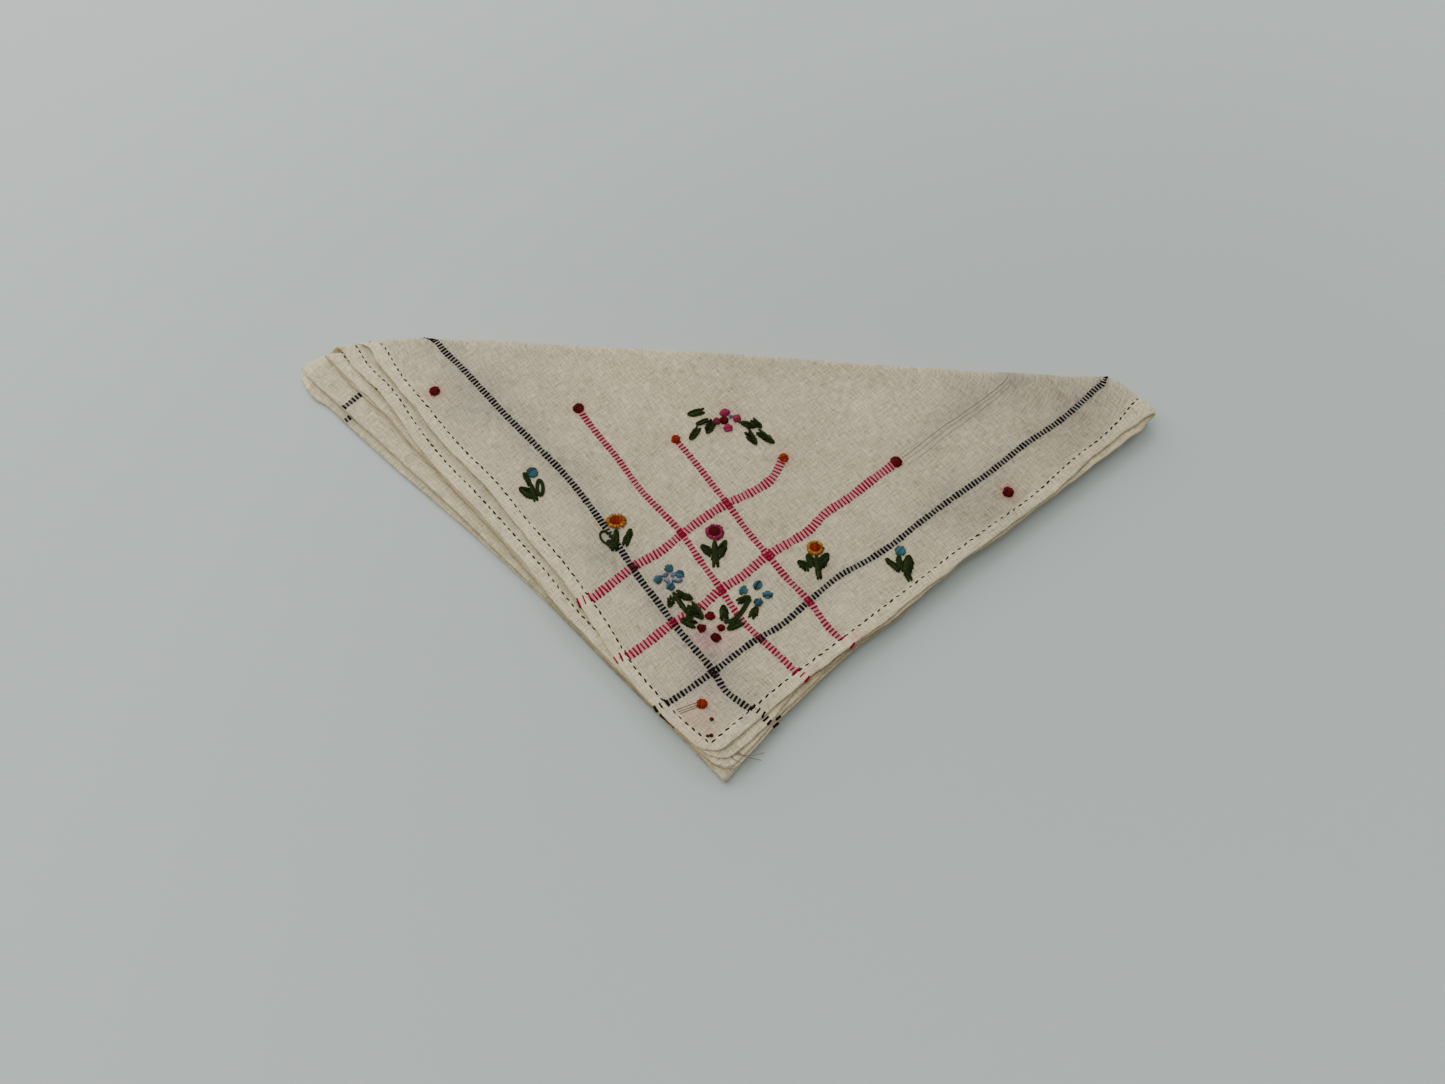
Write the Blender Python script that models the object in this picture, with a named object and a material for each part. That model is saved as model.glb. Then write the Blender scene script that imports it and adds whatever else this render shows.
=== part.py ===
# A square linen handkerchief, folded to a triangle and laid on a table.
# The flat sheet is folded in half to the right, in half again, and then corner to corner,
# so that eight three-cornered leaves lie in one pile: leaf 1, with the worked corner, is on
# top and leaf 8 is on the table. It is one sheet throughout, thickened to a millimetre, and
# each leaf runs into the next one round a real crease.
# Metres, +Z up. The origin is on the table under the middle of the pile, +X runs along the
# long crease, and the square corner points to -Y.
import math

import bmesh
import bpy
from mathutils import Matrix, Vector

MM = 0.001

# The cloth before it is folded
SIDE = 280 * MM  # hem to hem, both ways
THICKNESS = 1.0 * MM
HEM_WIDTH = 2.6 * MM  # the turned edge, which is part of the sheet
CORNER_RADIUS = 4.0 * MM  # a hemmed corner is blunt
CORNER_STEPS = 3
GRID_STEP = 14 * MM  # how far apart the sheet can take up the pile's unevenness

# The pile
GAP = 0.12 * MM  # air between two leaves
PITCH = THICKNESS + GAP
CREASE_STEPS = 4  # flats round one crease
CREASE_LEFT = 9 * MM  # the long crease leaves the hems this far past the small creases
CREASE_RIGHT = 0.8 * MM

HALF = SIDE / 2
SMALL_CREASE = 0  # the number of each fold, in the order in which it is made
CROSS_CREASE = 1
LONG_CREASE = 2

# Where the leaves lie, seen from above, in millimetres. The long crease runs between the same
# two points on all of them, though an upper leaf can have slid along it at its left end.
CREASE_FROM = (-94.0, 54.8)
CREASE_TO = (98.0, 45.2)
LEAVES = (
    # turned over by which folds, how far it has slid, and where its square corner lies
    {"leaf": 1, "turned": (0, 0, 1), "slid": 9.5, "corner": (-1.6, -46.0)},
    {"leaf": 2, "turned": (1, 0, 1), "slid": 2.0, "corner": (-0.8, -48.9)},
    {"leaf": 3, "turned": (1, 1, 1), "slid": 1.0, "corner": (0.2, -47.8)},
    {"leaf": 4, "turned": (0, 1, 1), "slid": 0.5, "corner": (0.6, -47.0)},
    {"leaf": 5, "turned": (0, 1, 0), "slid": 0.0, "corner": (0.1, -48.5)},
    {"leaf": 6, "turned": (1, 1, 0), "slid": 0.0, "corner": (0.1, -48.5)},
    {"leaf": 7, "turned": (1, 0, 0), "slid": 0.0, "corner": (0.1, -48.5)},
    {"leaf": 8, "turned": (0, 0, 0), "slid": 0.0, "corner": (0.1, -48.5)},
)
ALL_LEAVES = range(1, 9)

# Places where the cloth is drawn sideways, in millimetres
PULLS = (
    # middle of the pull, how far it reaches, how far the cloth moves there, and which leaves
    {"at": (-34, 53), "reach": 76, "move": (0.0, 3.6), "leaves": ALL_LEAVES},
    {"at": (40, 48), "reach": 70, "move": (0.0, 1.8), "leaves": ALL_LEAVES},
    {"at": (100, 44), "reach": 13, "move": (-0.6, -7.2), "leaves": ALL_LEAVES},
    {"at": (80, 17), "reach": 42, "move": (3.4, -4.0), "leaves": ALL_LEAVES},
    {"at": (-102, 54), "reach": 14, "move": (0.6, -2.0), "leaves": ALL_LEAVES},
    {"at": (46, -10), "reach": 60, "move": (-1.8, 2.2), "leaves": (5, 6, 7, 8)},
    {"at": (-84, 26), "reach": 26, "move": (-1.0, -1.3), "leaves": (7, 8)},
    {"at": (-98, 42), "reach": 9, "move": (1.0, -1.6), "leaves": (7, 8)},
    {"at": (-79, 41), "reach": 11, "move": (3.0, 2.4), "leaves": (2,)},
    {"at": (-72, 34), "reach": 26, "move": (-1.6, -1.3), "leaves": (1,)},
    {"at": (-40, -8), "reach": 44, "move": (-1.8, -1.5), "leaves": (2, 3, 4)},
    {"at": (-50, 8), "reach": 30, "move": (-1.4, -1.1), "leaves": (1,)},
    {"at": (54, 2), "reach": 44, "move": (1.0, -1.2), "leaves": (1, 2, 3, 4)},
    {"at": (90, 28), "reach": 17, "move": (2.6, -2.8), "leaves": (1, 2, 3, 4)},
)

# How much looser than pressed flat the pile lies
SWELLS = (
    # middle of the swell in millimetres, how far it reaches, and its share of the height
    {"at": (-78, 38), "reach": 20, "share": 0.06},
    {"at": (0, 44), "reach": 46, "share": 0.05},
    {"at": (62, 34), "reach": 24, "share": 0.03},
    {"at": (-18, 6), "reach": 20, "share": 0.035},
    {"at": (30, 4), "reach": 16, "share": 0.025},
    {"at": (-2, -40), "reach": 12, "share": 0.05},
)
HEM_SHARE = 0.03  # the turned edge is this much thicker than the sheet

LINEN = (0.62, 0.56, 0.45, 1.0)
LINEN_ROUGHNESS = 0.9


def clear_scene():
    for item in list(bpy.data.objects):
        bpy.data.objects.remove(item, do_unlink=True)


def flat_sheet():
    """The sheet laid out, as a thin slab with blunt corners."""
    sheet = bmesh.new()
    bmesh.ops.create_cube(sheet, size=1.0, matrix=Matrix.Diagonal((SIDE, SIDE, THICKNESS, 1.0)))
    upright = [edge for edge in sheet.edges if abs(edge.verts[0].co.z - edge.verts[1].co.z) > THICKNESS / 2]
    bmesh.ops.bevel(
        sheet, geom=upright, offset=CORNER_RADIUS, segments=CORNER_STEPS, profile=0.5, affect="EDGES"
    )
    return sheet


def score(sheet, point, normal):
    """Adds an edge all the way across the sheet, where an upright plane meets it."""
    geometry = list(sheet.verts) + list(sheet.edges) + list(sheet.faces)
    bmesh.ops.bisect_plane(sheet, geom=geometry, dist=0.01 * MM, plane_co=point, plane_no=normal)


def score_grid(sheet):
    """Lines every grid step, and one along each hem."""
    count = round(SIDE / GRID_STEP)
    places = [-HALF + GRID_STEP * (number + 0.5) for number in range(count)]
    places += [-HALF + HEM_WIDTH, HALF - HEM_WIDTH]
    for place in places:
        score(sheet, (place, 0, 0), (1, 0, 0))
        score(sheet, (0, place, 0), (0, 1, 0))


def fold(sheet, number, on_line, away, layers):
    """Turns what lies past a line up and over the rest. The line is the crease's outer edge,
    away points from it across what is turned, and layers is how many sheets bend together.
    How far round its crease each point has gone, from 0 to 1, is kept on the sheet."""
    turned = sheet.verts.layers.float.new(f"turned_{number}")
    axis_height = (layers - 0.5) * PITCH
    axis_back = axis_height + THICKNESS / 2
    taken_up = 2 * axis_back
    for step in range(CREASE_STEPS + 1):
        place = on_line + away * (taken_up * step / CREASE_STEPS - axis_back)
        score(sheet, place, away)
    for vert in sheet.verts:
        past = (vert.co - on_line).dot(away) + axis_back
        share = min(max(past / taken_up, 0.0), 1.0)
        vert[turned] = share
        if past <= 0:
            continue
        radius = axis_height - vert.co.z
        angle = math.pi * share
        along = radius * math.sin(angle) - max(past - taken_up, 0.0)
        vert.co += away * (along - past)
        vert.co.z = axis_height - radius * math.cos(angle)


def fold_up(sheet):
    """The three folds. The long crease runs from one hem to the other, past the corners."""
    left_end = Vector((CREASE_LEFT, HALF, 0))
    right_end = Vector((HALF, CREASE_RIGHT, 0))
    along = (right_end - left_end).normalized()
    across = Vector((-along.y, along.x, 0))
    fold(sheet, SMALL_CREASE, Vector((0, 0, 0)), Vector((-1, 0, 0)), 1)
    fold(sheet, CROSS_CREASE, Vector((0, 0, 0)), Vector((0, -1, 0)), 2)
    fold(sheet, LONG_CREASE, left_end, across, 4)
    corner = Vector((HALF, HALF, 0))
    turned_corner = corner - across * (2 * (corner - left_end).dot(across))
    return {"left": left_end, "right": right_end, "corner": turned_corner}


def carried(point, triangle, target):
    """Where a point goes when a triangle is laid on another one."""
    origin, first, second = triangle
    side_a, side_b = first - origin, second - origin
    offset = point - origin
    area = side_a.x * side_b.y - side_a.y * side_b.x
    share_a = (offset.x * side_b.y - offset.y * side_b.x) / area
    share_b = (side_a.x * offset.y - side_a.y * offset.x) / area
    return target[0] + (target[1] - target[0]) * share_a + (target[2] - target[0]) * share_b


def in_metres(pair):
    return Vector((pair[0], pair[1], 0)) * MM


def leaf_places(folded):
    """For each leaf, the triangle that it is folded to and the one that it lies at."""
    crease_from, crease_to = in_metres(CREASE_FROM), in_metres(CREASE_TO)
    along = (crease_to - crease_from).normalized()
    places = []
    for leaf in LEAVES:
        corner = folded["corner"] if leaf["turned"][LONG_CREASE] else Vector((0, 0, 0))
        slid_from = crease_from + along * (leaf["slid"] * MM)
        triangle = (corner, folded["left"], folded["right"])
        places.append((leaf, triangle, (in_metres(leaf["corner"]), slid_from, crease_to)))
    return places


def bump(place, at, reach):
    """1 in the middle of a round place, and nearly 0 at its reach."""
    offset = (place - in_metres(at)).length / (reach * MM)
    return math.exp(-4 * offset * offset) if offset < 2 else 0.0


def lay_leaves(sheet, folded):
    """Moves each leaf from where perfect folds would put it to where it lies."""
    turned = [sheet.verts.layers.float[f"turned_{n}"] for n in (SMALL_CREASE, CROSS_CREASE, LONG_CREASE)]
    places = leaf_places(folded)
    for vert in sheet.verts:
        flat = Vector((vert.co.x, vert.co.y, 0))
        at = Vector((0, 0, 0))
        weights = {}
        for leaf, triangle, target in places:
            weight = 1.0
            for layer, over in zip(turned, leaf["turned"]):
                weight *= vert[layer] if over else 1 - vert[layer]
            weights[leaf["leaf"]] = weight
            if weight:
                at += weight * carried(flat, triangle, target)
        drawn = Vector((0, 0, 0))
        for pull in PULLS:
            held = sum(weights[leaf] for leaf in pull["leaves"])
            if held:
                drawn += held * bump(at, pull["at"], pull["reach"]) * in_metres(pull["move"])
        vert.co.x, vert.co.y = (at + drawn).xy


def loosen(sheet, on_hem):
    """Lets the pile swell upwards, as it does where it isn't pressed. The foot stays flat."""
    for vert in sheet.verts:
        place = Vector((vert.co.x, vert.co.y, 0))
        share = sum(swell["share"] * bump(place, swell["at"], swell["reach"]) for swell in SWELLS)
        share += HEM_SHARE * vert[on_hem]
        vert.co.z = (vert.co.z + THICKNESS / 2) * (1 + share)


def mark_hem(sheet):
    """Notes which points are on the turned edge, outside the line scored for it."""
    on_hem = sheet.verts.layers.float.new("on_hem")
    inside = HALF - HEM_WIDTH + 0.1 * MM
    for vert in sheet.verts:
        vert[on_hem] = 1.0 if max(abs(vert.co.x), abs(vert.co.y)) > inside else 0.0


def linen():
    material = bpy.data.materials.new("linen")
    material.use_nodes = True
    shader = material.node_tree.nodes["Principled BSDF"]
    shader.inputs["Base Color"].default_value = LINEN
    shader.inputs["Roughness"].default_value = LINEN_ROUGHNESS
    shader.inputs["Metallic"].default_value = 0.0
    return material


def handkerchief():
    sheet = flat_sheet()
    score_grid(sheet)
    mark_hem(sheet)
    folded = fold_up(sheet)
    lay_leaves(sheet, folded)
    loosen(sheet, sheet.verts.layers.float["on_hem"])
    mesh = bpy.data.meshes.new("handkerchief")
    sheet.to_mesh(mesh)
    sheet.free()
    mesh.shade_smooth()
    mesh.set_sharp_from_angle(angle=math.radians(40))
    mesh.materials.append(linen())
    return bpy.data.objects.new("handkerchief", mesh)


def main():
    clear_scene()
    collection = bpy.data.collections.new("handkerchief")
    bpy.context.scene.collection.children.link(collection)
    collection.objects.link(handkerchief())


main()
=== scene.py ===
import math
import bmesh
import bpy
import numpy as np
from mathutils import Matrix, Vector, noise
from mathutils.kdtree import KDTree


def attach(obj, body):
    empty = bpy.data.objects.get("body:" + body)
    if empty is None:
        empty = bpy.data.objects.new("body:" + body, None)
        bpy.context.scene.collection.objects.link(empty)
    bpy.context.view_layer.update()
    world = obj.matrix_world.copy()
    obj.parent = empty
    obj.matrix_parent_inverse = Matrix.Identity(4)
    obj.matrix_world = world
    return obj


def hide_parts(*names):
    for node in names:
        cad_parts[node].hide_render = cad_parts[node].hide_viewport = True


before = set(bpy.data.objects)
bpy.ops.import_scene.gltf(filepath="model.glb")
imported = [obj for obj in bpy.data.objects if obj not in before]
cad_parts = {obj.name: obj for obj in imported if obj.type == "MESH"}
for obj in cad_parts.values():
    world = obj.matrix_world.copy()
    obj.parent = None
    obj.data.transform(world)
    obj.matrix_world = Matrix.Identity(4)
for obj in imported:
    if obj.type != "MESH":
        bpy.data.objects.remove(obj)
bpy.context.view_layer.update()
mm = 0.001

# The cloth and the way it is folded
foldSizes = {
    "side": 280 * mm,
    "thickness": 0.26 * mm,
    "pitch": 0.62 * mm,
    "hemThickness": 0.50 * mm,
    "hemWidth": 2.5 * mm,
    "hemWander": 0.42 * mm,
    "hemPucker": 0.9,
    "hemReach": 1.1,  # how far in the hem is uneven, as a share of its width
    "cornerRadius": 5.5 * mm,
    "fineStep": 1.4 * mm,
    "coarseStep": 3.4 * mm,
    "foldSteps": 8,
    "creaseLayers": 4,
    "creaseSteps": 12,
    "creaseLeft": 9 * mm,
    "creaseRight": 0.8 * mm,
    "creaseFrom": (-93.4, 53.0),
    "creaseTo": (99.3, 36.3),
}
half = foldSizes["side"] / 2
# the first two folds: a line, the side that turns over it, and how many layers that side has
foldLines = (
    {"at": (0, 0), "away": (-1, 0), "layers": 1},
    {"at": (0, 0), "away": (0, -1), "layers": 2},
)
# turned says which of the three folds a leaf goes over, top leaf first; places are in mm
leafTable = (
    {"leaf": 1, "turned": (0, 0, 1), "slid": 9.5, "corner": (-2.0, -46.0)},
    {"leaf": 2, "turned": (1, 0, 1), "slid": 2.0, "corner": (-0.8, -46.4)},
    {"leaf": 3, "turned": (1, 1, 1), "slid": 1.0, "corner": (0.0, -46.8)},
    {"leaf": 4, "turned": (0, 1, 1), "slid": 0.5, "corner": (0.6, -47.0)},
    {"leaf": 5, "turned": (0, 1, 0), "slid": 1.4, "corner": (0.1, -48.5)},
    {"leaf": 6, "turned": (1, 1, 0), "slid": 1.4, "corner": (0.1, -48.5)},
    {"leaf": 7, "turned": (1, 0, 0), "slid": 1.4, "corner": (0.1, -48.5)},
    {"leaf": 8, "turned": (0, 0, 0), "slid": 1.4, "corner": (0.1, -48.5)},
)
everyLeaf = tuple(range(1, 9))
# how far each edge bows out, from its first end to its second, in mm
bowTable = (
    {"edge": "back", "leaves": everyLeaf, "fade": 0.9,
     "bow": (1.1, 3.1, 5.4, 5.7, 6.3, 6.2, 6.2, 6.4, 6.5, 6.7, 6.7, 6.7, 6.8, 6.9, 7.0,
             7.2, 7.2, 7.6, 7.8, 7.9, 0.5)},
    {"edge": "left", "leaves": (1,), "fade": 0.45,
     "bow": (-0.1, 1.4, 1.9, 0.8, 0.4, 1.0, 1.5, 3.2, 3.4, 3.4, 1.4)},
    {"edge": "right", "leaves": (1,), "fade": 0.45,
     "bow": (-0.9, -1.3, -1.2, -0.3, 0.6, 1.6, 3.0, 4.5, 4.7, 5.3, 1.2)},
    {"edge": "left", "leaves": (2,), "fade": 0.3,
     "bow": (0.1, 1.1, 1.4, 2.1, 2.9, 2.6, 2.9, 3.4, 4.3, 3.9, 2.8, 2.0, -0.5)},
    {"edge": "right", "leaves": (2,), "fade": 0.3,
     "bow": (0.1, -0.5, -2.6, -0.9, 0.6, 1.1, 3.1, 4.5, 6.0, 6.7, 1.2)},
    {"edge": "left", "leaves": (3, 4), "fade": 0.3,
     "bow": (0.7, 1.3, 2.3, 2.8, 3.0, 3.9, 4.5, 4.4, 2.6)},
    {"edge": "right", "leaves": (3, 4), "fade": 0.3,
     "bow": (1.4, -1.0, -1.9, -0.4, 0.0, 2.4, 4.1, 5.8, 1.4)},
    {"edge": "left", "leaves": (5, 6), "fade": 0.5,
     "bow": (-0.1, -0.7, -0.6, -0.4, 0.5, 1.5, 2.5, 1.1, 0.6)},
    {"edge": "left", "leaves": (7, 8), "fade": 0.5,
     "bow": (-0.1, -0.5, -0.4, -0.2, 1.1, 3.0, 4.4, 2.6, 0.2)},
    {"edge": "right", "leaves": (5, 6, 7, 8), "fade": 0.5,
     "bow": (0.5, -2.8, -4.0, -2.7, -1.6, 0.4, 2.6, 4.3, -0.9)},
)
# some leaves' ends are pulled aside, by mm
pullTable = (
    {"at": (-100, 42), "reach": 11, "move": (1.0, -4.4), "leaves": (7, 8)},
    {"at": (99.5, 36), "reach": 6, "move": (-1.9, 0.6), "leaves": (3, 4, 5, 6, 7, 8)},
)
# share is added to every height there; lift raises only the leaves named, by mm
swellTable = (
    {"at": (-78, 42), "reach": 22, "share": 0.10},
    {"at": (-40, 40), "reach": 26, "share": 0.04},
    {"at": (10, 44), "reach": 40, "share": 0.08},
    {"at": (66, 34), "reach": 26, "share": 0.06},
    {"at": (-18, 6), "reach": 22, "share": 0.05},
    {"at": (30, 4), "reach": 16, "share": 0.04},
    {"at": (-2, -40), "reach": 12, "share": 0.06},
)
liftTable = (
    {"at": (-80, 34), "reach": 16, "lift": 0.9, "leaves": (1, 2)},
    {"at": (-86, 44), "reach": 12, "lift": 0.7, "leaves": (1,)},
    {"at": (20, -24), "reach": 12, "lift": 0.25, "leaves": (1,)},
    {"at": (2, -42), "reach": 9, "lift": 0.3, "leaves": (1,)},
)
# soft waves in every height
waveTable = (
    {"length": 30 * mm, "share": 0.07, "at": 3.1},
    {"length": 11 * mm, "share": 0.035, "at": 8.4},
    {"length": 5 * mm, "share": 0.012, "at": 15.7},
)
# a leaf's corners are 0 at its free corner, 1 and 2 at the crease's left and right end: the two
# that an edge runs between, and the one across from it
edgeEnds = {"left": (0, 1, 2), "right": (0, 2, 1), "back": (1, 2, 0)}
# the hem swells to its thickness from the edge: how far in, in mm, and the share of it there. It
# ends between two places, in mm about its inner line
hemRise = ((0, 0.5), (0.15, 0.85), (0.4, 1.0))
hemEnd = (-0.25, 0.3)
# lines of the mesh, in mm in from the edge and in mm out from the hem's inner line
edgeLines = (0, 0.15, 0.4, 1.0, 1.8)
innerLines = (0.25, 0.0, -0.3, -1.0)
# how long the hem's unevenness is, in mm, and the row of the noise that it takes
hemNoise = {"wander": (4.5, 11.3, 0.2), "pucker": (1.9, 4.7, 0.9)}


def foldReach(layers):
    # how far from its line a fold of that many layers begins to turn
    return (layers - 0.5) * foldSizes["pitch"] + foldSizes["thickness"] / 2


def bend(place, onLine, away, layers):
    # turns what lies past the line over the rest, round an axis above the layers
    axisHeight = (layers - 0.5) * foldSizes["pitch"]
    axisBack = foldReach(layers)
    past = (place - onLine) @ away + axisBack
    share = np.clip(past / (2 * axisBack), 0, 1)
    radius = axisHeight - place[:, 2]
    along = radius * np.sin(np.pi * share) - np.maximum(past - 2 * axisBack, 0)
    over = past > 0
    place = place.copy()
    place[over] += away * (along - past)[over, None]
    place[over, 2] = (axisHeight - radius * np.cos(np.pi * share))[over]
    return place, share


def creaseLine():
    # the third fold's line on a quarter of the flat cloth, its ends and the way across it
    left = np.array((foldSizes["creaseLeft"], half, 0))
    right = np.array((half, foldSizes["creaseRight"], 0))
    along = (right - left) / np.linalg.norm(right - left)
    return left, right, np.array((-along[1], along[0], 0))


def creaseEnds():
    # where the long crease lies in the pile
    return [np.array((*foldSizes[end], 0)) * mm for end in ("creaseFrom", "creaseTo")]


def near(place, at, reach):
    # 1 at the spot itself, and next to nothing at its reach
    off = (place[:, 0] - at[0] * mm) ** 2 + (place[:, 1] - at[1] * mm) ** 2
    return np.exp(-4 * off / (reach * mm) ** 2)


def eased(values, along):
    # a smooth curve through evenly spaced values
    values = np.array(values, float)
    place = np.clip(along, 0, 1) * (len(values) - 1)
    k = np.clip(place.astype(int), 0, len(values) - 2)
    f = place - k
    a, b = values[np.maximum(k - 1, 0)], values[k]
    c, d = values[k + 1], values[np.minimum(k + 2, len(values) - 1)]
    return b + 0.5 * f * (c - a + f * (2 * a - 5 * b + 4 * c - d + f * (3 * (b - c) + d - a)))


def bowed(parts, place, target, rows):
    out = np.zeros((len(parts), 3))
    middle = sum(target) / 3
    creaseFrom, creaseTo = creaseEnds()
    creaseSpan = creaseTo - creaseFrom
    for row in rows:
        i, j, k = edgeEnds[row["edge"]]
        side = target[j] - target[i]
        outward = np.array((side[1], -side[0], 0.0)) / np.linalg.norm(side)
        if (target[i] - middle) @ outward < 0:
            outward = -outward
        if row["edge"] == "back":
            along = (place - creaseFrom) @ creaseSpan / (creaseSpan @ creaseSpan)
        else:
            along = parts[:, j] / np.maximum(parts[:, i] + parts[:, j], 1e-6)
        fade = np.clip(1 - np.maximum(parts[:, k], 0) / row["fade"], 0, 1)
        fade = fade * fade * (3 - 2 * fade)
        out += (eased(row["bow"], along) * mm * fade)[:, None] * outward
    return out


def waves(at):
    rise = np.zeros(len(at))
    for wave in waveTable:
        scaled = at / wave["length"]
        rise += wave["share"] * np.array(
            [noise.noise(Vector((x, y, wave["at"]))) for x, y in scaled[:, :2].tolist()]
        )
    return rise


def layCloth(flat, weights=False):
    # from the flat cloth, its middle at the origin, to its place in the folded pile
    left, right, across = creaseLine()
    place = flat
    shares = []
    for line in foldLines:
        at = np.array((*line["at"], 0.0))
        place, share = bend(place, at, np.array((*line["away"], 0.0)), line["layers"])
        shares.append(share)
    place, share = bend(place, left, across, foldSizes["creaseLayers"])
    shares.append(share)
    corner = np.array((half, half, 0))
    corner = corner - across * (2 * (corner - left) @ across)
    creaseFrom, creaseTo = creaseEnds()
    along = (creaseTo - creaseFrom) / np.linalg.norm(creaseTo - creaseFrom)
    at = np.zeros_like(place)
    held = {}
    for row in leafTable:
        weight = np.ones(len(place))
        for share, over in zip(shares, row["turned"]):
            weight = weight * (share if over else 1 - share)
        held[row["leaf"]] = weight
        start = corner if row["turned"][2] else np.zeros(3)
        sideA, sideB = left - start, right - start
        off = place * (1, 1, 0) - start
        area = sideA[0] * sideB[1] - sideA[1] * sideB[0]
        toLeft = (off[:, 0] * sideB[1] - off[:, 1] * sideB[0]) / area
        toRight = (sideA[0] * off[:, 1] - sideA[1] * off[:, 0]) / area
        parts = np.stack([1 - toLeft - toRight, toLeft, toRight], 1)
        target = (
            np.array((*row["corner"], 0)) * mm,
            creaseFrom + along * row["slid"] * mm,
            creaseTo,
        )
        spot = parts @ np.array(target)
        rows = [r for r in bowTable if row["leaf"] in r["leaves"]]
        at += weight[:, None] * (spot + bowed(parts, spot, target, rows))
    for pull in pullTable:
        weight = sum(held[n] for n in pull["leaves"]) * near(at, pull["at"], pull["reach"])
        at[:, :2] += weight[:, None] * np.array(pull["move"]) * mm
    rise = waves(at) + sum(s["share"] * near(at, s["at"], s["reach"]) for s in swellTable)
    high = (place[:, 2] + foldSizes["hemThickness"] / 2) * (1 + rise)
    for lift in liftTable:
        weight = sum(held[n] for n in lift["leaves"])
        high += weight * near(at, lift["at"], lift["reach"]) * lift["lift"] * mm
    laid = np.stack([at[:, 0], at[:, 1], high], 1)
    return (laid, held) if weights else laid


def hemHalf(inset):
    # half of the thickness that far in from the edge
    thin, thick = foldSizes["thickness"] / 2, foldSizes["hemThickness"] / 2
    places = [at * mm for at, _ in hemRise] + [foldSizes["hemWidth"] + at * mm for at in hemEnd]
    return np.interp(inset, places, [share * thick for _, share in hemRise] + [thick, thin])


def gridLines(low):
    # close together at the fold and the hems, fine on the worked side and coarse on the other
    hem = half - np.array(edgeLines) * mm
    hem = np.append(hem, half - foldSizes["hemWidth"] + np.array(innerLines) * mm)
    fold = np.linspace(-low, low, foldSizes["foldSteps"] + 1)
    fine = np.linspace(low, hem.min(), round((hem.min() - low) / foldSizes["fineStep"]))
    coarse = np.linspace(low, hem.min(), round((hem.min() - low) / foldSizes["coarseStep"]))
    return np.sort(np.concatenate([-hem, -coarse[-2:0:-1], fold, fine[1:-1], hem]))


def besideCrease(face, signs, left, side, reach):
    # whether the face is in that quarter of the cloth and near the quarter's diagonal
    middle = np.array(face.calc_center_median()) * (*signs, 1)
    return (middle[:2] > 0).all() and abs((middle - left) @ side) < reach


def flatCloth():
    across, down = (gridLines(foldReach(line["layers"])) for line in foldLines)
    mesh = bmesh.new()
    spots = [[mesh.verts.new((x, y, 0)) for x in across] for y in down]
    for lower, upper in zip(spots, spots[1:]):
        for a, b, c, d in zip(lower, lower[1:], upper[1:], upper):
            mesh.faces.new((a, b, c, d))
    left, right, side = creaseLine()
    axisBack = foldReach(foldSizes["creaseLayers"])
    steps = np.linspace(-axisBack, axisBack, foldSizes["creaseSteps"] + 1)
    for signs in ((1, 1), (1, -1), (-1, 1), (-1, -1)):
        for step in steps:
            faces = [f for f in mesh.faces if besideCrease(f, signs, left, side, 3 * axisBack)]
            around = {e for f in faces for e in f.edges}
            corners = {v for f in faces for v in f.verts}
            bmesh.ops.bisect_plane(
                mesh,
                geom=faces + list(around) + list(corners),
                dist=1e-7,
                plane_co=(left + side * step) * (*signs, 0),
                plane_no=side * (*signs, 0),
            )
    bmesh.ops.triangulate(mesh, faces=[f for f in mesh.faces if len(f.verts) > 4])
    return mesh


def blunted(flat):
    # the cloth's four corners are a little round
    radius = foldSizes["cornerRadius"]
    out = flat.copy()
    past = (np.abs(flat[:, :2]) - (half - radius)) / radius
    inside = (past > 0).all(1)
    reach = past[inside]
    reach *= (reach.max(1) / np.hypot(reach[:, 0], reach[:, 1]))[:, None]
    out[inside, :2] = np.sign(flat[inside, :2]) * (half - radius + reach * radius)
    return out


def uneven(kind, along, side):
    # noise along a side of the hem
    length, row, layer = hemNoise[kind]
    return np.array([noise.noise(Vector((v / length, row + side, layer))) for v in along.tolist()])


def addObject(name, data):
    piece = bpy.data.objects.new(name, data)
    bpy.context.scene.collection.objects.link(piece)
    return piece


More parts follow.
